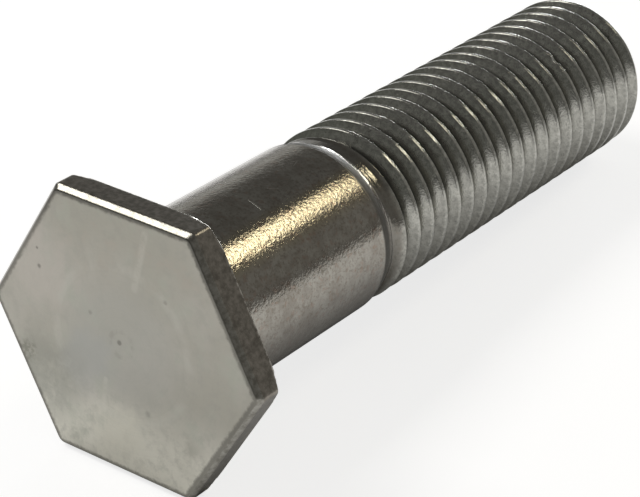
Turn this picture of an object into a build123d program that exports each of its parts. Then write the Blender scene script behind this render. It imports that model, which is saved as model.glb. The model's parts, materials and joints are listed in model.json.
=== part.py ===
from build123d import *
from math import atan, ceil, cos, radians, sin, sqrt, tan
import os

# Beam bolt: one piece of hexagonal steel bar, turned down and rolled with a right-hand
# thread. All lengths are millimetres and all angles are degrees.

# The thin hexagon head.
hex_width = 28.6
head_height = 3.2
face_bevel_depth = 0.6
face_bevel_width = 0.42
face_corner_radius = 0.18
corner_chamfer_fall = 0.55
corner_chamfer_angle = 30.0
underhead_cone = 0.6

# The plain shank, from the bearing face to the shoulder.
shank_diameter = 18.95
shank_length = 27.2

# The neck between shank and thread. The first crest rises out of it.
shoulder_length = 1.4
neck_diameter = 17.8
neck_length = 1.2
crest_rise_length = 1.0

# The thread, three quarter inch with ten turns to the inch.
crest_diameter = 18.8
pitch = 2.54
crest_width = 0.42
root_width = 0.5
flank_angle = 30.0
runout_turns = 0.8
tip_groove_angle = 91.0

# The point and the length.
length_under_head = 79.4
point_chamfer = 0.7

# How far the cutting shapes stand clear outside the metal that they cut.
cutter_clearance = 0.15

# Stations along the axis, counted from the outer face of the head.
total_length = head_height + length_under_head
shank_end = head_height + shank_length
neck_start = shank_end + shoulder_length
neck_end = neck_start + neck_length
full_thread_start = neck_end + crest_rise_length
point_start = total_length - point_chamfer

# Radii, and the depth that the crest, the root and the flanks leave for the groove.
shank_radius = shank_diameter / 2
neck_radius = neck_diameter / 2
crest_radius = crest_diameter / 2
point_radius = crest_radius - point_chamfer
corner_radius = hex_width / sqrt(3)
bar_corner_radius = face_corner_radius + face_bevel_width
groove_slope = tan(radians(flank_angle))
groove_depth = (pitch - crest_width - root_width) / 2 / groove_slope
root_radius = crest_radius - groove_depth

# The blank stands on its head: the hexagon first, with its outer rim bevelled.
with BuildPart() as blank:
    with BuildSketch() as bar_section:
        RegularPolygon(radius=hex_width / 2, side_count=6, major_radius=False)
        fillet(bar_section.vertices(), radius=bar_corner_radius)
    extrude(amount=head_height)
    outer_face = blank.faces().sort_by(Axis.Z)[0]
    chamfer(
        outer_face.edges(),
        length=face_bevel_width,
        length2=face_bevel_depth,
        reference=outer_face,
    )

    # A cone turned off the back of the head rounds its six corners.
    cone_run = corner_chamfer_fall / tan(radians(corner_chamfer_angle))
    cone_slope = tan(radians(corner_chamfer_angle))
    cutter_radius = corner_radius + cutter_clearance
    with BuildSketch(Plane.XZ):
        with BuildLine():
            Polyline(
                (corner_radius - cone_run, head_height),
                (cutter_radius, head_height),
                (cutter_radius, head_height - corner_chamfer_fall - cutter_clearance * cone_slope),
                close=True,
            )
        make_face()
    revolve(axis=Axis.Z, mode=Mode.SUBTRACT)

    # Shank, shoulder, neck, thread blank and point are one turned profile.
    with BuildSketch(Plane.XZ):
        with BuildLine():
            Polyline(
                (0, face_bevel_depth),
                (shank_radius, face_bevel_depth),
                (shank_radius, shank_end),
                (neck_radius, neck_start),
                (neck_radius, neck_end),
                (crest_radius, full_thread_start),
                (crest_radius, point_start),
                (point_radius, total_length),
                (0, total_length),
                close=True,
            )
        make_face()
    revolve(axis=Axis.Z)
    bearing_face = blank.faces().filter_by(GeomType.PLANE).filter_by(Axis.Z).sort_by(Axis.Z)[-2]
    chamfer(bearing_face.inner_wires()[0].edges(), length=underhead_cone)


# The groove's section: a flat root and two flanks, drawn across its path at crest radius.
def groove_section(path, share, lift):
    start = path @ share
    half_root = root_width / 2
    half_mouth = half_root + (groove_depth + cutter_clearance) * groove_slope
    with BuildSketch(Plane(origin=start, x_dir=(start.X, start.Y, 0), z_dir=path % share)) as section:
        with BuildLine():
            Polyline(
                (lift - groove_depth, -half_root),
                (lift - groove_depth, half_root),
                (lift + cutter_clearance, half_mouth),
                (lift + cutter_clearance, -half_mouth),
                close=True,
            )
        make_face()
    return section.sketch


# One full turn of the groove, right-handed, starting over the X axis.
with BuildLine() as turn_line:
    Helix(pitch=pitch, height=pitch, radius=crest_radius)
turn_path = turn_line.wires()[0]
turn_section = groove_section(turn_path, 0, 0)
with BuildPart() as groove_turn:
    sweep(sections=turn_section, path=turn_path, is_frenet=True)

# The runout, where the groove grows from nothing above the neck to its full depth.
runout_length = runout_turns * pitch
runout_lift = groove_depth - (crest_radius - neck_radius)
with BuildLine() as runout_line:
    Helix(pitch=pitch, height=runout_length, radius=crest_radius)
runout_path = runout_line.wires()[0]
runout_sections = [
    groove_section(runout_path, 0, runout_lift),
    groove_section(runout_path, 1, 0),
]
with BuildPart() as groove_runout:
    sweep(sections=runout_sections, path=runout_path, multisection=True, is_frenet=True)

# The groove is cut turn by turn, from the neck until it has left the point behind.
groove_reach = total_length + pitch / 2 - full_thread_start
turn_count = ceil(groove_reach / pitch)
start_angle = tip_groove_angle - 360 * (total_length - full_thread_start) / pitch
with BuildPart() as threaded:
    add(blank.part)
    with Locations((0, 0, full_thread_start - runout_length)):
        add(groove_runout.part, rotation=(0, 0, start_angle - 360 * runout_turns), mode=Mode.SUBTRACT)
    for turn in range(turn_count):
        with Locations((0, 0, full_thread_start + turn * pitch)):
            add(groove_turn.part, rotation=(0, 0, start_angle), mode=Mode.SUBTRACT)

# At rest the bolt lies on the back edge of one flat and on its last whole crest.
lowest_angle = 270.0
past_point = total_length + pitch * (lowest_angle - tip_groove_angle) / 360 - pitch / 2
crests_back = ceil((past_point + crest_width / 2 - point_start) / pitch)
last_crest_edge = past_point - crests_back * pitch + crest_width / 2
tilt = atan((hex_width / 2 - crest_radius) / (last_crest_edge - head_height))
axis_height = head_height * sin(tilt) + hex_width / 2 * cos(tilt)

# The origin is on the surface it lies on, under the middle of its length. The bolt reaches
# furthest back at the top of its point, where the groove leaves it.
front_reach = (hex_width / 2 - face_bevel_width) * sin(tilt)
back_reach = total_length * cos(tilt) + min(point_radius, root_radius) * sin(tilt)
rest_plane = Plane(
    origin=((front_reach - back_reach) / 2, 0, axis_height),
    x_dir=(0, 1, 0),
    z_dir=(cos(tilt), 0, -sin(tilt)),
)
with BuildPart() as bolt:
    with Locations(rest_plane):
        add(threaded.part)
bolt.part.label = "bolt"

os.makedirs("parts", exist_ok=True)
export_step(bolt.part, "parts/bolt.step")
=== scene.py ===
import json
from math import atan2, ceil, cos, pi, radians, sin, tan

import bmesh
import bpy
import numpy as np
from mathutils import Matrix, Vector


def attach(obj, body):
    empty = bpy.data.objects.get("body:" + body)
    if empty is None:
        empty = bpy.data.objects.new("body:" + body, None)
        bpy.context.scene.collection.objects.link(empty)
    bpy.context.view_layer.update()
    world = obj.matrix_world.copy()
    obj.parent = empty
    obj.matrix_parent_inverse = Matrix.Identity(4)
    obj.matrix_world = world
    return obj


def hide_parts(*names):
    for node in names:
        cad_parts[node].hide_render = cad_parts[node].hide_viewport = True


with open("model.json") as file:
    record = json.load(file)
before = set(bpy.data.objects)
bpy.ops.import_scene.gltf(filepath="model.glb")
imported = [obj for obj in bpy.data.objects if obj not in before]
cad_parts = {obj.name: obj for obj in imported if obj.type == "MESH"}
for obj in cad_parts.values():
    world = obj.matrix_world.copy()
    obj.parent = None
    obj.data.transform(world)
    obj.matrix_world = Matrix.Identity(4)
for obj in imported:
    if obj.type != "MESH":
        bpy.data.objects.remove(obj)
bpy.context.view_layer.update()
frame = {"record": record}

# The beam bolt is one piece of plain steel: hexagonal bar, turned down behind a thin head and
# rolled with a thread. It lies loose on its side. Everything on it is laid out from the middle of
# the head's outer face: along the axis, to the left, and up square to both.
mounts = {mount["name"]: mount for mount in frame["record"]["mounts"]}
face_centre = Vector(mounts["outer_face"]["pos_m"])
along = -Vector(mounts["outer_face"]["axis"]).normalized()
left = Vector((0, 1, 0))
up = along.cross(left)
bolt_frame = Matrix.Translation(face_centre) @ Matrix((along, left, up)).transposed().to_4x4()
MM = 0.001

# The head is what is left of the hexagonal bar, 28.6 mm across flats and 3.2 mm thick. Its outer
# rim is bevelled all round, and a shallow cone has been turned off the six corners at the back.
HEX_HALF_WIDTH = 14.3 * MM
HEAD_HEIGHT = 3.2 * MM
BAR_CORNER_RADIUS = 0.6 * MM
BEVEL_DEPTH = 0.6 * MM
BEVEL_WIDTH = 0.42 * MM
CORNER_CONE_RADIUS = 15.56 * MM
CORNER_CONE_ANGLE = radians(30)
EDGE_SOFTNESS = 0.07 * MM
FACE_CORNER_RADIUS = 0.9 * MM
RIM_SOFTNESS = 0.13 * MM

# Every ring round the bolt has its points at the same angles, closest at the six corners. The
# offsets are degrees from a corner to the middle of a flat.
CORNER_OFFSETS = [0, 0.35, 0.7, 1.05, 1.7, 3.2, 6, 9, 12, 15, 18, 21, 24, 27]
SIDES = 6
SECTOR = 60
sector_offsets = CORNER_OFFSETS + [SECTOR / 2] + [SECTOR - offset for offset in CORNER_OFFSETS[:0:-1]]
angles = np.radians([SECTOR * side + offset for side in range(SIDES) for offset in sector_offsets])
RING = len(angles)


def hexagon(half_width, corner_radius):
    """The distance from the axis to a hexagon with rounded corners, at each angle."""
    from_corner = np.abs((angles + pi / 6) % (pi / 3) - pi / 6)
    flat = half_width / np.cos(pi / 6 - from_corner)
    centre = (half_width - corner_radius) / cos(pi / 6)
    inside = np.maximum(corner_radius**2 - (centre * np.sin(from_corner)) ** 2, 0)
    rounded = centre * np.cos(from_corner) + np.sqrt(inside)
    tangent = atan2(corner_radius / 2, centre + corner_radius * cos(pi / 6))
    return np.where(from_corner < tangent, rounded, flat)


def soft_min(one, other, softness):
    """The smaller of two lengths, with the edge between them rounded off."""
    share = np.clip(0.5 + (other - one) / softness / 2, 0, 1)
    return other + (one - other) * share - softness * share * (1 - share)


def soft_max(one, other, softness):
    """The larger of two lengths, with the edge between them rounded off."""
    return -soft_min(-one, -other, softness)


rings = []


def ring(station, radius):
    """Keep a ring of points at a station, at one distance from the axis or one for each angle."""
    rings.append((np.full(RING, station), np.broadcast_to(radius, RING)))


# Shares of the outer face's size, millimetres outward from its rim across the bevel, stations in
# millimetres along the flats, and shares of the bearing face's size.
FACE_SHARES = (0.02, 0.1, 0.25, 0.45, 0.65, 0.85, 0.95)
BEVEL_STEPS = (-0.3, -0.2, -0.13, -0.08, -0.03, 0.02, 0.07, 0.12, 0.18, 0.28, 0.35, 0.39, 0.43, 0.47)
FLAT_STATIONS = (0.73, 0.8, 1.1, 1.5, 2.0, *np.arange(2.3, 3.05, 0.06), 3.08, 3.13, 3.17)
BEARING_SHARES = (0.9975, 0.992, 0.98, 0.85, 0.73)
face_half_width = HEX_HALF_WIDTH - BEVEL_WIDTH
for share in FACE_SHARES:
    ring(0, hexagon(face_half_width, FACE_CORNER_RADIUS) * share)
for step in BEVEL_STEPS:
    outward = step * MM
    sunk = soft_max(0, outward * BEVEL_DEPTH / BEVEL_WIDTH, RIM_SOFTNESS)
    half_width = soft_min(face_half_width + outward, HEX_HALF_WIDTH, EDGE_SOFTNESS)
    across_bevel = np.clip(outward / BEVEL_WIDTH, 0, 1)
    corner_radius = FACE_CORNER_RADIUS + (BAR_CORNER_RADIUS - FACE_CORNER_RADIUS) * across_bevel
    ring(sunk, hexagon(half_width, corner_radius))
flats = hexagon(HEX_HALF_WIDTH, BAR_CORNER_RADIUS)
for flat_station in FLAT_STATIONS:
    cone = CORNER_CONE_RADIUS + (HEAD_HEIGHT - flat_station * MM) / tan(CORNER_CONE_ANGLE)
    ring(flat_station * MM, soft_min(flats, cone, EDGE_SOFTNESS))
back_edge = soft_min(flats, CORNER_CONE_RADIUS, EDGE_SOFTNESS)
for share in BEARING_SHARES:
    ring(HEAD_HEIGHT, back_edge * share)

# The shank is one with the head, turned from the same bar to 18.95 mm round, with a small fillet
# between them. It ends in a shoulder that slopes down to a neck, out of which the thread rises.
FILLET = 0.6 * MM
SHANK_RADIUS = 9.475 * MM
SHANK_LENGTH = 27.2 * MM
SHOULDER_LENGTH = 1.4 * MM
SHOULDER_SOFTNESS = 0.25 * MM
NECK_RADIUS = 8.9 * MM
SHANK_END = HEAD_HEIGHT + SHANK_LENGTH
NECK_START = SHANK_END + SHOULDER_LENGTH

# How many rings the fillet has, and the stations of the other rings in millimetres.
FILLET_RINGS = 7
SHANK_STATIONS = (4.4, 8, 14, 20, 26, 29.5)
SHOULDER_STATIONS = np.arange(29.95, 31.95, 0.1)
for quarter in np.linspace(0, pi / 2, FILLET_RINGS):
    fillet_station = HEAD_HEIGHT + FILLET * (1 - cos(quarter))
    ring(fillet_station, SHANK_RADIUS + FILLET * (1 - sin(quarter)))
for shank_station in SHANK_STATIONS:
    ring(shank_station * MM, SHANK_RADIUS)
shoulder_slope = (SHANK_RADIUS - NECK_RADIUS) / (NECK_START - SHANK_END)
for shoulder_station in SHOULDER_STATIONS * MM:
    sloping = SHANK_RADIUS - (shoulder_station - SHANK_END) * shoulder_slope
    turned = soft_min(SHANK_RADIUS, sloping, SHOULDER_SOFTNESS)
    ring(shoulder_station, soft_max(turned, NECK_RADIUS, SHOULDER_SOFTNESS))

# The thread is three quarter inch with ten turns to the inch, right-hand, rolled 1.4 mm deep into
# the same steel. Its first turn grows out of the neck, and the point is chamfered.
CREST_RADIUS = 9.4 * MM
PITCH = 2.54 * MM
CREST_WIDTH = 0.42 * MM
ROOT_WIDTH = 0.5 * MM
FLANK_SLOPE = tan(radians(30))
RUNOUT_TURNS = 0.8
TIP_GROOVE_ANGLE = radians(91)
NECK_LENGTH = 1.2 * MM
CREST_RISE_LENGTH = 1.0 * MM
LENGTH_UNDER_HEAD = 79.4 * MM
POINT_CHAMFER = 0.7 * MM
CREST_SOFTNESS = 0.07 * MM
ROOT_SOFTNESS = 0.12 * MM
RISE_SOFTNESS = 0.1 * MM
NECK_END = NECK_START + NECK_LENGTH
THREAD_START = NECK_END + CREST_RISE_LENGTH
TOTAL_LENGTH = HEAD_HEIGHT + LENGTH_UNDER_HEAD
POINT_START = TOTAL_LENGTH - POINT_CHAMFER
POINT_RADIUS = CREST_RADIUS - POINT_CHAMFER
groove_depth = (PITCH - CREST_WIDTH - ROOT_WIDTH) / 2 / FLANK_SLOPE
runout_lift = groove_depth - (CREST_RADIUS - NECK_RADIUS)
start_angle = TIP_GROOVE_ANGLE - 2 * pi * (TOTAL_LENGTH - THREAD_START) / PITCH

# The crests are not quite even, in waves with a height, a count round the bolt and a phase, and
# one of them has been nicked.
CREST_WAVES = ((0.008 * MM, 7, 0.3), (0.006 * MM, 17, 1.9), (0.004 * MM, 41, 0.7))
WAVE_TURN = 2.4
CREST_BAND = 0.3 * MM
NICK_STATION = 68.95 * MM
NICK_ANGLE = radians(125)
NICK_DEPTH = 0.22 * MM
NICK_SPREAD = 0.5 * MM


def thread_radius(station, angle):
    """The distance from the axis to the threaded surface, with its groove and its point."""
    rise = (station - NECK_END) / (THREAD_START - NECK_END) * (CREST_RADIUS - NECK_RADIUS)
    blank = soft_max(np.minimum(CREST_RADIUS, NECK_RADIUS + rise), NECK_RADIUS, RISE_SOFTNESS)
    fall = (station - POINT_START) / (TOTAL_LENGTH - POINT_START) * (CREST_RADIUS - POINT_RADIUS)
    blank = soft_min(blank, CREST_RADIUS - fall, CREST_SOFTNESS)
    first = THREAD_START + PITCH * (angle - start_angle) / (2 * pi)
    groove_centre = first + np.round((station - first) / PITCH) * PITCH
    turns = (groove_centre - THREAD_START) / PITCH
    growing = np.clip(-turns, 0, None) / RUNOUT_TURNS * runout_lift
    lift = np.where(turns < -RUNOUT_TURNS, groove_depth, growing)
    off_centre = np.abs(station - groove_centre)
    flank = CREST_RADIUS - groove_depth + (off_centre - ROOT_WIDTH / 2) / FLANK_SLOPE
    groove = soft_max(flank, CREST_RADIUS - groove_depth, ROOT_SOFTNESS) + lift
    rolled = soft_min(blank, groove, CREST_SOFTNESS)
    twist = station / PITCH * WAVE_TURN
    waves = sum(size * np.sin(count * angle + phase + twist) for size, count, phase in CREST_WAVES)
    near_crest = np.clip((rolled - CREST_RADIUS) / CREST_BAND + 1, 0, 1)
    round_nick = (angle - NICK_ANGLE) * CREST_RADIUS
    from_nick = ((station - NICK_STATION) ** 2 + round_nick**2) / NICK_SPREAD**2
    return rolled + near_crest * (waves - NICK_DEPTH * np.exp(-(from_nick**2)))


# Rows of points follow the helix, so that crest edges and root corners run along the mesh. They
# are placed in millimetres from a crest to the next root, and mirrored for the other flank.
HALF_PITCH_ROWS = np.array([0, 0.11, 0.17, 0.2, 0.23, 0.28, 0.42, 0.65, 0.86, 0.97, 1.05, 1.15, 1.27])
SPARE_TURNS = 3
phases = np.concatenate([HALF_PITCH_ROWS * MM, PITCH - HALF_PITCH_ROWS[-2:0:-1] * MM])
ROWS = len(phases)
thread_from = rings[-1][0][0]
turn_total = ceil((TOTAL_LENGTH - thread_from) / PITCH) + SPARE_TURNS
first_crest = THREAD_START - PITCH * start_angle / (2 * pi) + PITCH / 2
first_crest -= ceil((first_crest - thread_from) / PITCH + SPARE_TURNS / 2) * PITCH
thread_rows = []
for turn_number in range(turn_total):
    for phase in phases:
        row_stations = first_crest + turn_number * PITCH + phase + PITCH * angles / (2 * pi)
        thread_rows.append(np.clip(row_stations, thread_from, TOTAL_LENGTH))
thread_stations = np.array(thread_rows)
for edge in (NECK_END, THREAD_START, POINT_START):
    nearest = np.abs(thread_stations - edge).argmin(axis=0)
    thread_stations[nearest, np.arange(RING)] = edge

# The point ends in a flat face, with rings at these shares of its size.
END_SHARES = (0.985, 0.95, 0.6, 0.2)

# Head, shank and thread are one piece of steel, so all the rings make one mesh.
points = []
faces = []


def add_ring(stations, radii):
    """Add one mesh point at each angle."""
    points.extend(zip(stations, radii * np.cos(angles), radii * np.sin(angles)))


for stations, radii in rings:
    add_ring(stations, radii)
for stations in thread_stations:
    add_ring(stations, thread_radius(stations, angles))
thread_first = len(rings)
row_total = len(rings) + len(thread_stations)
last_row = row_total + len(END_SHARES) - 1
end_stations = np.full(RING, TOTAL_LENGTH)
for share in END_SHARES:
    add_ring(end_stations, thread_radius(end_stations, angles) * share)
face_middle = len(points)
points.append((0, 0, 0))
point_middle = len(points)
points.append((TOTAL_LENGTH, 0, 0))


def corner(row, column):
    """The number of a mesh point. Past the last column, the thread goes on one turn further."""
    if column == RING:
        column = 0
        if thread_first <= row < row_total:
            row = min(row + ROWS, row_total - 1)
    return row * RING + column


for row in range(last_row):
    for column in range(RING):
        near_side = (corner(row, column), corner(row, column + 1))
        far_side = (corner(row + 1, column + 1), corner(row + 1, column))
        faces.append(near_side + far_side)
for column in range(RING):
    following = (column + 1) % RING
    faces.append((face_middle, following, column))
    faces.append((point_middle, last_row * RING + column, last_row * RING + following))

# Points closer than this are one point.
MERGE = 0.0005 * MM
mesh = bpy.data.meshes.new("beam_bolt")
mesh.from_pydata([tuple(point) for point in points], [], faces)
mesh.transform(bolt_frame)
shaping = bmesh.new()
shaping.from_mesh(mesh)
bmesh.ops.remove_doubles(shaping, verts=shaping.verts, dist=MERGE)
bmesh.ops.dissolve_degenerate(shaping, dist=MERGE, edges=shaping.edges)
bmesh.ops.recalc_face_normals(shaping, faces=shaping.faces)
for polygon in shaping.faces:
    polygon.smooth = True
shaping.to_mesh(mesh)
shaping.free()
beam_bolt = bpy.data.objects.new("beam_bolt", mesh)
bpy.context.scene.collection.objects.link(beam_bolt)

# The steel is bare and has been handled. The head is rubbed dull, the shank is turned smooth and
# has browned, and the rolled thread is brighter. All places in the material are millimetres.


class Shade:
    """A shader value. Arithmetic on it adds the nodes that work it out."""

    def __init__(self, socket):
        self.socket = socket
        self.tree = socket.id_data

    def make(self, kind, settings=None, inputs=(), output=0):
        return make(self.tree, kind, settings, inputs, output)

    def maths(self, operation, *others):
        return self.make("ShaderNodeMath", {"operation": operation}, [self, *others])

    def __add__(self, other):
        return self.maths("ADD", other)

    def __sub__(self, other):
        return self.maths("SUBTRACT", other)

    def __mul__(self, other):
        return self.maths("MULTIPLY", other)

    def __rsub__(self, other):
        return self * -1 + other

    __radd__ = __add__
    __rmul__ = __mul__

    def dot(self, direction):
        """How far this place lies in a direction."""
        settings = {"operation": "DOT_PRODUCT"}
        return self.make("ShaderNodeVectorMath", settings, [self, tuple(direction)], "Value")

    def ramp(self, low, high):
        """0 below low, 1 above high, and smooth between them."""
        settings = {"interpolation_type": "SMOOTHSTEP"}
        inputs = {"Value": self, "From Min": low, "From Max": high}
        return self.make("ShaderNodeMapRange", settings, inputs)

    def within(self, start, full, fading, end):
        """1 between full and fading, and 0 before start and past end."""
        return self.ramp(start, full) * (1 - self.ramp(fading, end))

    def near(self, value, full, end):
        """1 closer to a value than full, and 0 further from it than end."""
        return 1 - (self - value).maths("ABSOLUTE").ramp(full, end)

    def mix(self, one, other):
        """Colour one where this value is 0, and the other where it is 1."""
        settings = {"data_type": "RGBA"}
        return self.make("ShaderNodeMix", settings, {0: self, 6: one, 7: other}, 2)

    def under(self, colour, cover, strength=1.0):
        """This colour, with another laid over it at the strength given where cover is 1."""
        return (cover * strength).mix(self, colour)


def make(tree, kind, settings=None, inputs=(), output=0):
    """Add a node, set its settings and then its sockets, and give back one of its outputs."""
    node = tree.nodes.new(kind)
    for name, value in (settings or {}).items():
        setattr(node, name, value)
    for key, value in inputs.items() if isinstance(inputs, dict) else enumerate(inputs):
        if isinstance(value, Shade):
            tree.links.new(value.socket, node.inputs[key])
        else:
            node.inputs[key].default_value = value
    return Shade(node.outputs[output]) if len(node.outputs) else node


def new_tree(name):
    """A new material, and its node tree with nothing in it."""
    material = bpy.data.materials.new(name)
    material.use_nodes = True
    material.node_tree.nodes.clear()
    return material, material.node_tree


def noise(place, scale, detail, roughness):
    """Grey noise about 0.5. A ramp over part of it picks out as many flecks as are wanted."""
    inputs = {"Vector": place, "Scale": scale, "Detail": detail, "Roughness": roughness}
    return place.make("ShaderNodeTexNoise", {"noise_dimensions": "3D"}, inputs)


steel, tree = new_tree("steel")
place = make(tree, "ShaderNodeTexCoord", output="Object")
offset = place.make("ShaderNodeVectorMath", {"operation": "SUBTRACT"}, [place, tuple(face_centre)])
station = offset.dot(along / MM)
sideways = offset.dot(left / MM)
upward = offset.dot(up / MM)
radius = (sideways * sideways + upward * upward).maths("SQRT")
turn = upward.maths("ARCTAN2", sideways)
spot = place.make("ShaderNodeCombineXYZ", inputs=[station, sideways, upward])

# Where each part of the bolt is, by the stretch over which it gives way to the next one.
FACE_TO_BEVEL = (0.03, 0.14)
BEVEL_TO_FLATS = (0.58, 0.64)
HEAD_TO_SHANK = (3.0, 3.3)
SHANK_OUTWARD = (9.9, 10.1)
on_face = 1 - station.ramp(*FACE_TO_BEVEL)
on_bevel = (1 - on_face) * (1 - station.ramp(*BEVEL_TO_FLATS))
on_thread = station.ramp(NECK_END / MM, THREAD_START / MM)
on_shank = (1 - radius.ramp(*SHANK_OUTWARD)) * station.ramp(*HEAD_TO_SHANK) * (1 - on_thread)

# Unevenness of the steel, from broad clouds to fine grain.
cloud = noise(spot, scale=0.12, detail=4, roughness=0.55)
patch = noise(spot, scale=0.25, detail=5, roughness=0.65)
wear = noise(spot, scale=0.5, detail=5, roughness=0.7)
smears = noise(spot, scale=0.7, detail=5, roughness=0.7)
flecks = noise(spot, scale=1.3, detail=4, roughness=0.7)
grain = noise(spot, scale=1.6, detail=5, roughness=0.65)
peel = noise(spot, scale=2.8, detail=3, roughness=0.6)
crumbs = noise(spot, scale=3.0, detail=4, roughness=0.7)
fine = noise(spot, scale=6.0, detail=2, roughness=0.6)

# The outer face: lighter towards its foot in painted light, with a greyer disc in the middle,
# rings from the lathe, and smears, pits and streaks from handling.
FACE_DARK = (0.40, 0.385, 0.335, 1)
FACE_LIGHT = (0.44, 0.42, 0.375, 1)
FOOT_PAINTED_LIGHT = (0.74, 0.72, 0.635, 1)
SMEARED = (0.34, 0.335, 0.30, 1)
GREENISH = (0.40, 0.42, 0.355, 1)
REDDISH = (0.42, 0.38, 0.33, 1)
MIDDLE_DISC = (0.40, 0.395, 0.36, 1)
RING_LIGHT = (0.56, 0.55, 0.5, 1)
STREAK_LIGHT = (0.6, 0.58, 0.52, 1)
PIT_DARK = (0.14, 0.135, 0.12, 1)
SMALL_RING_DARK = (0.25, 0.24, 0.21, 1)
LATHE_DARK = (0.28, 0.275, 0.245, 1)
EDGE_STAIN = (0.19, 0.19, 0.155, 1)
RING_RADIUS = 8.2
RING_WANDER = 1.5
SMALL_RING_RADIUS = 1.4
DISC_EDGE = (4.0, 8.5)
DISC_WANDER = 4
FOOT_TO_MIDDLE = (-13, -3)
MIDDLE_TO_TOP = (2, 10)
LATHE_CLOSENESS = 3

# Patches: place to the left and up, size, strength and colour.
PATCHES = (
    (4.2, -3.2, 5.0, 0.35, (0.385, 0.395, 0.39, 1)),
    (0.6, -9.8, 4.5, 0.6, (0.66, 0.64, 0.55, 1)),
    (10.5, 5.5, 6.0, 0.5, (0.50, 0.465, 0.42, 1)),
)

# Stains, broken up by the patch noise: place, size, the noise where they start and where they are
# whole, strength and colour.
STAINS = (
    (9.6, -7.0, 6.5, 0.3, 0.55, 0.55, (0.27, 0.275, 0.245, 1)),
    (-8.0, -9.0, 3.5, 0.35, 0.6, 0.4, (0.29, 0.28, 0.24, 1)),
)

# Streaks: start, end and width. Pits: place, size and strength.
STREAKS = (
    ((-2.9, 12.7), (-1.6, 6.6), 0.55),
    ((2.0, -4.5), (2.4, -8.0), 0.4),
)
PITS = (
    (0.25, 0.15, 0.35, 1.0),
    (10.4, 6.9, 0.25, 1.0),
    (10.2, 5.0, 0.3, 1.0),
    (3.85, 2.2, 0.45, 0.5),
    (-5.3, 6.5, 0.4, 0.5),
    (-3.2, -6.4, 0.5, 0.4),
)

# The share of a mark's size that is solid in its middle, and how far a ragged edge wanders.
SOLID_SHARE = 0.3
RAGGED_WANDER = 6


def blot(across, height, size, raggedness=0.3):
    """1 on a spot of the face with a ragged edge, and 0 around it."""
    ragged = (patch - 0.5) * size * raggedness * RAGGED_WANDER
    to_left = sideways - across
    to_top = upward - height
    away = (to_left * to_left + to_top * to_top).maths("SQRT")
    return 1 - (away + ragged).ramp(size * SOLID_SHARE, size)


def line(one, other, start, end, width):
    """1 on a straight line between two places on a surface, and 0 beside it."""
    run = (end[0] - start[0], end[1] - start[1])
    square = run[0] ** 2 + run[1] ** 2
    share = (one - start[0]) * (run[0] / square) + (other - start[1]) * (run[1] / square)
    share = share.maths("MINIMUM", 1.0).maths("MAXIMUM", 0.0)
    off_one = one - start[0] - share * run[0]
    off_other = other - start[1] - share * run[1]
    away = (off_one * off_one + off_other * off_other).maths("SQRT")
    return 1 - away.ramp(width * SOLID_SHARE, width)


face_colour = cloud.ramp(0.35, 0.65).mix(FACE_DARK, FACE_LIGHT)
# Painted light makes the face lighter towards its foot.
face_colour = face_colour.under(FOOT_PAINTED_LIGHT, 1 - upward.ramp(*FOOT_TO_MIDDLE))
face_colour = face_colour.under(SMEARED, smears.ramp(0.45, 0.65), strength=0.3)
face_colour = face_colour.under(GREENISH, patch.ramp(0.5, 0.68), strength=0.4)
red_at_top = (1 - patch.ramp(0.34, 0.48)) * upward.ramp(*MIDDLE_TO_TOP)
face_colour = face_colour.under(REDDISH, red_at_top, strength=0.5)
in_disc = 1 - (radius + (cloud - 0.5) * DISC_WANDER).ramp(*DISC_EDGE)
face_colour = face_colour.under(MIDDLE_DISC, in_disc, strength=0.5)
for across, height, size, strength, tint in PATCHES:
    face_colour = face_colour.under(tint, blot(across, height, size), strength)
on_ring = (radius + (cloud - 0.5) * RING_WANDER).near(RING_RADIUS, full=0.05, end=0.8)
face_colour = face_colour.under(RING_LIGHT, on_ring * patch.ramp(0.4, 0.6), strength=0.22)
for across, height, size, low, high, strength, tint in STAINS:
    face_colour = face_colour.under(tint, blot(across, height, size) * patch.ramp(low, high), strength)
streaks = sum(line(sideways, upward, start, end, width) for start, end, width in STREAKS)
face_colour = face_colour.under(STREAK_LIGHT, streaks * smears.ramp(0.35, 0.6), strength=0.3)
pits = sum(blot(across, height, size) * strength for across, height, size, strength in PITS)
pits = pits.maths("MINIMUM", 1.0)
face_colour = face_colour.under(PIT_DARK, pits, strength=0.6)
on_small_ring = radius.near(SMALL_RING_RADIUS, full=0.1, end=0.4) * smears.ramp(0.4, 0.6)
face_colour = face_colour.under(SMALL_RING_DARK, on_small_ring, strength=0.25)
ringed = place.make("ShaderNodeCombineXYZ", inputs=[radius * LATHE_CLOSENESS, station, 0.0])
lathe_rings = noise(ringed, scale=1.0, detail=3, roughness=0.7)
face_colour = face_colour.under(LATHE_DARK, lathe_rings.ramp(0.5, 0.75), strength=0.12)
edge_stain = blot(12.3, -5.0, size=2.0, raggedness=0.6) * grain.ramp(0.4, 0.6)
face_colour = face_colour.under(EDGE_STAIN, edge_stain, strength=0.6)

# Painted shade lies in a dark line along the face's rim, darkest at the top. How far a place is
# from the middle is counted square to the flat that is nearest.
RIM_PAINTED_SHADE = (0.13, 0.125, 0.11, 1)
RIM_LINE_EDGE = (13.3, 13.7)
RIM_LINE_WANDER = 0.6
RIM_LINE_STRENGTH = 0.7
NEAR_TOP = (8, 13)
NEAR_TOP_ADDS = 0.2
lean = sideways * cos(pi / 6)
raised = upward * sin(pi / 6)
to_flat = (lean + raised).maths("ABSOLUTE").maths("MAXIMUM", (lean - raised).maths("ABSOLUTE"))
to_flat = to_flat.maths("MAXIMUM", upward.maths("ABSOLUTE"))
painted_rim_shade = (to_flat + (grain - 0.5) * RIM_LINE_WANDER).ramp(*RIM_LINE_EDGE)
rim_shade_strength = RIM_LINE_STRENGTH + upward.ramp(*NEAR_TOP) * NEAR_TOP_ADDS
face_colour = face_colour.under(RIM_PAINTED_SHADE, painted_rim_shade * rim_shade_strength)
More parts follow.
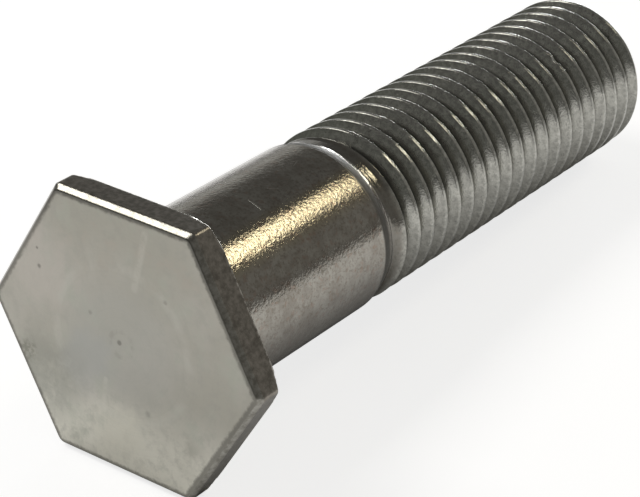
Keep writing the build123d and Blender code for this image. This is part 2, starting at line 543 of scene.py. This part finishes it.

# The bevel and the flats are darker, and the flats' back edge is lighter in a thin line.
BEVEL_DARK = (0.2, 0.19, 0.165, 1)
BEVEL_LIGHT = (0.36, 0.35, 0.315, 1)
FLAT_DARK = (0.16, 0.147, 0.125, 1)
FLAT_LIGHT = (0.30, 0.275, 0.24, 1)
BACK_EDGE_LIGHT = (0.62, 0.6, 0.54, 1)
bevel_colour = grain.ramp(0.3, 0.7).mix(BEVEL_DARK, BEVEL_LIGHT)
flat_colour = grain.ramp(0.3, 0.7).mix(FLAT_DARK, FLAT_LIGHT)
on_back_edge = station.within(start=2.98, full=3.06, fading=3.14, end=3.19) * grain.ramp(0.4, 0.55)
flat_colour = flat_colour.under(BACK_EDGE_LIGHT, on_back_edge, strength=0.7)

# The shank is brownish and smooth, with dark crumbs, reddish flecks and three short scratches.
# Along its upper right a warm tint is painted where the strip lamp's highlight falls, and painted
# shade darkens the shoulder and the neck. The tint's limits are radians.
SHANK_DARK = (0.25, 0.23, 0.20, 1)
SHANK_LIGHT = (0.335, 0.32, 0.285, 1)
STRIP_HIGHLIGHT_TINT = (0.31, 0.272, 0.19, 1)
CRUMB_DARK = (0.15, 0.125, 0.095, 1)
FLECK_RED = (0.26, 0.17, 0.125, 1)
SHOULDER_PAINTED_SHADE = (0.07, 0.068, 0.06, 1)
NECK_PAINTED_SHADE = (0.14, 0.135, 0.12, 1)
SCRATCH_LIGHT = (0.7, 0.68, 0.62, 1)
SHOULDER_TO_NECK = (31.2, 31.9)
MM_PER_RADIAN = SHANK_RADIUS / MM

# Scratches: start and end, each a station and an angle round the bolt in radians, then width and
# strength.
SCRATCHES = (
    ((16.85, 1.765), (16.77, 1.94), 0.1, 1.0),
    ((20.0, 1.75), (20.9, 1.83), 0.08, 0.5),
    ((25.6, 1.66), (26.6, 1.62), 0.08, 0.5),
)
shank_colour = wear.ramp(0.35, 0.65).mix(SHANK_DARK, SHANK_LIGHT)
# Painted highlight: a warm tint where the strip lamp's highlight falls on the shank.
under_strip_highlight = turn.within(start=1.95, full=2.1, fading=2.35, end=2.5)
shank_colour = shank_colour.under(STRIP_HIGHLIGHT_TINT, under_strip_highlight, strength=0.7)
shank_colour = shank_colour.under(CRUMB_DARK, crumbs.ramp(0.5, 0.62), strength=0.5)
shank_colour = shank_colour.under(FLECK_RED, flecks.ramp(0.56, 0.64), strength=0.35)
on_shoulder = station.within(start=29.7, full=30.1, fading=30.9, end=31.5)
# Painted shade darkens the shoulder and then the neck.
shank_colour = shank_colour.under(SHOULDER_PAINTED_SHADE, on_shoulder, strength=0.85)
shank_colour = shank_colour.under(NECK_PAINTED_SHADE, station.ramp(*SHOULDER_TO_NECK), strength=0.6)
scratches = 0
for start, end, width, strength in SCRATCHES:
    start_place = (start[0], start[1] * MM_PER_RADIAN)
    end_place = (end[0], end[1] * MM_PER_RADIAN)
    scratches = scratches + line(station, turn * MM_PER_RADIAN, start_place, end_place, width) * strength
shank_colour = shank_colour.under(SCRATCH_LIGHT, scratches, strength=0.4)

# The thread is brighter, dark in its root with painted shade, and dull in breaks along the crests.
THREAD_DARK = (0.33, 0.325, 0.295, 1)
THREAD_LIGHT = (0.47, 0.465, 0.425, 1)
ROOT_PAINTED_SHADE = (0.11, 0.11, 0.1, 1)
BREAK_DULL = (0.25, 0.25, 0.23, 1)
SPECK_DARK = (0.12, 0.12, 0.11, 1)
ROOT_TO_FLANK = (8.05, 8.7)
FLANK_TO_CREST = (8.9, 9.2)
painted_root_shade = on_thread * (1 - radius.ramp(*ROOT_TO_FLANK))
thread_colour = grain.ramp(0.3, 0.7).mix(THREAD_DARK, THREAD_LIGHT)
# Painted shade darkens the thread's root.
thread_colour = thread_colour.under(ROOT_PAINTED_SHADE, painted_root_shade)
crest_breaks = radius.ramp(*FLANK_TO_CREST) * peel.ramp(0.48, 0.58)
thread_colour = thread_colour.under(BREAK_DULL, crest_breaks, strength=0.5)
thread_colour = thread_colour.under(SPECK_DARK, fine.ramp(0.6, 0.68), strength=0.5)

# The colours of the parts are laid one over another, and each shows only on its own part.
colour = on_face.mix(flat_colour, face_colour)
colour = colour.under(bevel_colour, on_bevel)
colour = colour.under(shank_colour, on_shank)
colour = colour.under(thread_colour, on_thread)

# How rough the flats are, and what the other parts add to that or take from it.
FLAT_ROUGHNESS = 0.3
FACE_ADDS = 0.1
SHANK_TAKES = 0.22
THREAD_TAKES = 0.14
SCRATCH_ADDS = 0.3
SHOULDER_ADDS = 0.5
GRAIN_SPREAD = 0.1
roughness = FLAT_ROUGHNESS + on_face * FACE_ADDS - on_shank * SHANK_TAKES - on_thread * THREAD_TAKES
roughness = roughness + scratches * SCRATCH_ADDS + on_shoulder * SHOULDER_ADDS
roughness = roughness + (grain - 0.5) * GRAIN_SPREAD

# Heights of the surface's unevenness, in millimetres.
GRAIN_HEIGHT = 0.006
LATHE_HEIGHT = 0.003
PIT_DEPTH = 0.02
SCRATCH_DEPTH = 0.01
FINE_HEIGHT = 0.014
SHANK_FINE_HEIGHT = 0.004
SHANK_PEEL_HEIGHT = 0.035
BEVEL_PEEL_HEIGHT = 0.02
THREAD_PEEL_HEIGHT = 0.008
relief = (grain - 0.5) * GRAIN_HEIGHT + (lathe_rings - 0.5) * on_face * LATHE_HEIGHT
relief = relief - pits * PIT_DEPTH - scratches * SCRATCH_DEPTH
fine_height = (1 - on_face) * FINE_HEIGHT - on_shank * (FINE_HEIGHT - SHANK_FINE_HEIGHT)
peel_height = on_shank * SHANK_PEEL_HEIGHT + on_bevel * BEVEL_PEEL_HEIGHT + on_thread * THREAD_PEEL_HEIGHT
relief = relief + (fine - 0.5) * fine_height + (peel - 0.5) * peel_height
bump = place.make("ShaderNodeBump", {}, {"Strength": 1.0, "Distance": MM, "Height": relief})
finish = {"Base Color": colour, "Metallic": 1.0, "Roughness": roughness, "Normal": bump}
metal = make(tree, "ShaderNodeBsdfPrincipled", {}, finish)
make(tree, "ShaderNodeOutputMaterial", {}, {"Surface": metal})
mesh.materials.append(steel)
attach(beam_bolt, "root")
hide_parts("bolt")

# The camera stands before the head, to its right and above, and has a long lens. Its angles are
# radians in the bolt's own frame. The pixels say where the middle of the outer face comes.
IMAGE_WIDTH = 640
IMAGE_HEIGHT = 497
FOCAL_PIXELS = 2341
FACE_CENTRE_X = 121.5
FACE_CENTRE_Y = 345.2
VIEW_TURN = 0.6131
VIEW_DROP = 0.4902
VIEW_ROLL = 0.0363
VIEW_DISTANCE = 219.93 * MM
SENSOR_WIDTH = 36
NEAR_LIMIT = 0.01
ahead = Vector((cos(VIEW_DROP) * cos(VIEW_TURN), cos(VIEW_DROP) * sin(VIEW_TURN), -sin(VIEW_DROP)))
level = ahead.cross(Vector((0, 0, 1))).normalized()
rising = level.cross(ahead)
picture_right = cos(VIEW_ROLL) * level + sin(VIEW_ROLL) * rising
picture_up = cos(VIEW_ROLL) * rising - sin(VIEW_ROLL) * level
right_share = (FACE_CENTRE_X - IMAGE_WIDTH / 2) / FOCAL_PIXELS
down_share = (FACE_CENTRE_Y - IMAGE_HEIGHT / 2) / FOCAL_PIXELS
stand = -VIEW_DISTANCE * (ahead + right_share * picture_right - down_share * picture_up)
view = Matrix((picture_right, picture_up, -ahead)).transposed().to_4x4()
lens = bpy.data.cameras.new("camera")
lens.sensor_width = SENSOR_WIDTH
lens.lens = SENSOR_WIDTH * FOCAL_PIXELS / IMAGE_WIDTH
lens.clip_start = NEAR_LIMIT
camera = bpy.data.objects.new("camera", lens)
camera.matrix_world = bolt_frame @ Matrix.Translation(stand) @ view
bpy.context.scene.collection.objects.link(camera)
bpy.context.scene.camera = camera

# The floor is a plain pale board that the bolt lies on. The camera sees it near white with the
# bolt's shadow. Mirrored in the steel, it is darker far away, and darker under the bolt, where
# ambient occlusion paints shade onto its glow.
FLOOR_SIZE = 3
FLOOR_GREY = (0.9, 0.9, 0.9, 1)
FAR_GREY = (0.15, 0.15, 0.15, 1)
FAR_START = 0.07
FAR_END = 0.3
FAR_DIMMING = 0.85
GLOW_SHARE = 0.5
GLOW_STRENGTH = 1.52
SHADE_REACH = 0.05
SHADE_DEPTH = 1.6
SHADE_SAMPLES = 8
BLACK = (0, 0, 0, 1)
WHITE = (1, 1, 1, 1)
half = FLOOR_SIZE / 2
floor_corners = [(-half, -half, 0), (half, -half, 0), (half, half, 0), (-half, half, 0)]
floor_mesh = bpy.data.meshes.new("floor")
floor_mesh.from_pydata(floor_corners, [], [(0, 1, 2, 3)])
floor = bpy.data.objects.new("floor", floor_mesh)
bpy.context.scene.collection.objects.link(floor)
pale, tree = new_tree("pale_floor")
seen = make(tree, "ShaderNodeLightPath", output="Is Camera Ray")
ray_kinds = seen.socket.node.outputs
mirrored = Shade(ray_kinds["Is Glossy Ray"]) + Shade(ray_kinds["Is Transmission Ray"])
ground = make(tree, "ShaderNodeTexCoord", output="Object")
distance = ground.make("ShaderNodeVectorMath", {"operation": "LENGTH"}, [ground], "Value")
far = mirrored * distance.ramp(FAR_START, FAR_END)
occlusion = {"samples": SHADE_SAMPLES}
open_air = ground.make("ShaderNodeAmbientOcclusion", occlusion, {"Distance": SHADE_REACH}, "AO")
# Painted shade: ambient occlusion darkens the floor's glow under the bolt in mirrored rays.
shaded = (mirrored * (1 - open_air) * SHADE_DEPTH).maths("MINIMUM", 1.0)
near_floor = ground.make("ShaderNodeBsdfDiffuse", {}, {"Color": FLOOR_GREY})
far_floor = ground.make("ShaderNodeBsdfDiffuse", {}, {"Color": FAR_GREY})
lit = ground.make("ShaderNodeMixShader", {}, [far, near_floor, far_floor])
glow_colour = ((1 - far * FAR_DIMMING) * (1 - shaded)).mix(BLACK, WHITE)
glow = ground.make("ShaderNodeEmission", {}, {"Color": glow_colour, "Strength": GLOW_STRENGTH})
glow_share = (seen + mirrored).maths("MINIMUM", 1.0) * GLOW_SHARE
surface = ground.make("ShaderNodeMixShader", {}, [glow_share, lit, glow])
make(tree, "ShaderNodeOutputMaterial", {}, {"Surface": surface})
floor_mesh.materials.append(pale)

# The room is a dim grey studio, lighter on the bolt's right than on the left of its head, and
# brightest low down past the point. Directions are the world's own.
ROOM_GREY = (0.166, 0.165, 0.158, 1)
LEFT_GREY = (0.17, 0.175, 0.16, 1)
RIGHT_GREY = (0.29, 0.284, 0.268, 1)
LOW_LIGHT = (0.6, 0.6, 0.58, 1)
LEFT_SIDE = (-0.8, 0.6, 0)
RIGHT_SIDE = (0.5, -0.86, 0)
PAST_POINT = (0.9, 0.44, 0)
STRAIGHT_UP = (0, 0, 1)
world = bpy.data.worlds.new("studio")
bpy.context.scene.world = world
world.use_nodes = True
tree = world.node_tree
tree.nodes.clear()
heading = make(tree, "ShaderNodeTexCoord", output="Generated")
elevation = heading.dot(STRAIGHT_UP)
at_left = heading.dot(LEFT_SIDE).ramp(0.2, 0.8) * (1 - elevation.ramp(0.4, 0.6))
at_right = heading.dot(RIGHT_SIDE).ramp(0.2, 0.8) * (1 - elevation.ramp(0.5, 0.7))
past_point = (1 - elevation.ramp(0.12, 0.34)) * heading.dot(PAST_POINT).ramp(0.45, 0.85)
room = at_left.mix(ROOM_GREY, LEFT_GREY)
room = room.under(RIGHT_GREY, at_right)
room = room.under(LOW_LIGHT, past_point)
backdrop = heading.make("ShaderNodeBackground", {}, {"Color": room, "Strength": 1.0})
make(tree, "ShaderNodeOutputWorld", {}, {"Surface": backdrop})

# Three soft lamps light the bolt: one above the head, one to the right that draws the bright strip
# along the shank, and one past the point that picks out the crests.


def add_lamp(name, direction, distance, across, width, length, power, colour, target_station):
    """A rectangular lamp that faces a point on the bolt's axis. Its width runs along across."""
    light = bpy.data.lights.new(name, "AREA")
    light.shape = "RECTANGLE"
    light.size = width
    light.size_y = length
    light.energy = power
    light.color = colour
    aim = Vector(direction).normalized()
    beside = (Vector(across) - aim * aim.dot(Vector(across))).normalized()
    turned = Matrix((beside, aim.cross(beside), aim)).transposed().to_4x4()
    stand = Matrix.Translation(Vector((target_station, 0, 0)) + aim * distance)
    lamp = bpy.data.objects.new(name, light)
    lamp.matrix_world = bolt_frame @ stand @ turned
    bpy.context.scene.collection.objects.link(lamp)


add_lamp(
    "key",
    direction=(-0.27, 0.57, 0.775),
    distance=0.7,
    across=(0, 1, 0),
    width=0.26,
    length=0.26,
    power=1.9,
    colour=(1, 0.98, 0.94),
    target_station=0,
)
add_lamp(
    "strip",
    direction=(0.656, -0.328, 0.68),
    distance=0.8,
    across=(0, 1, 0.48),
    width=0.17,
    length=0.15,
    power=0.6,
    colour=(1, 0.93, 0.74),
    target_station=15 * MM,
)
add_lamp(
    "back",
    direction=(0.93, 0.25, 0.12),
    distance=0.9,
    across=(0, 1, 0),
    width=0.5,
    length=0.12,
    power=4.6,
    colour=(0.94, 0.97, 1),
    target_station=55 * MM,
)

bpy.context.scene.view_settings.view_transform = "Standard"
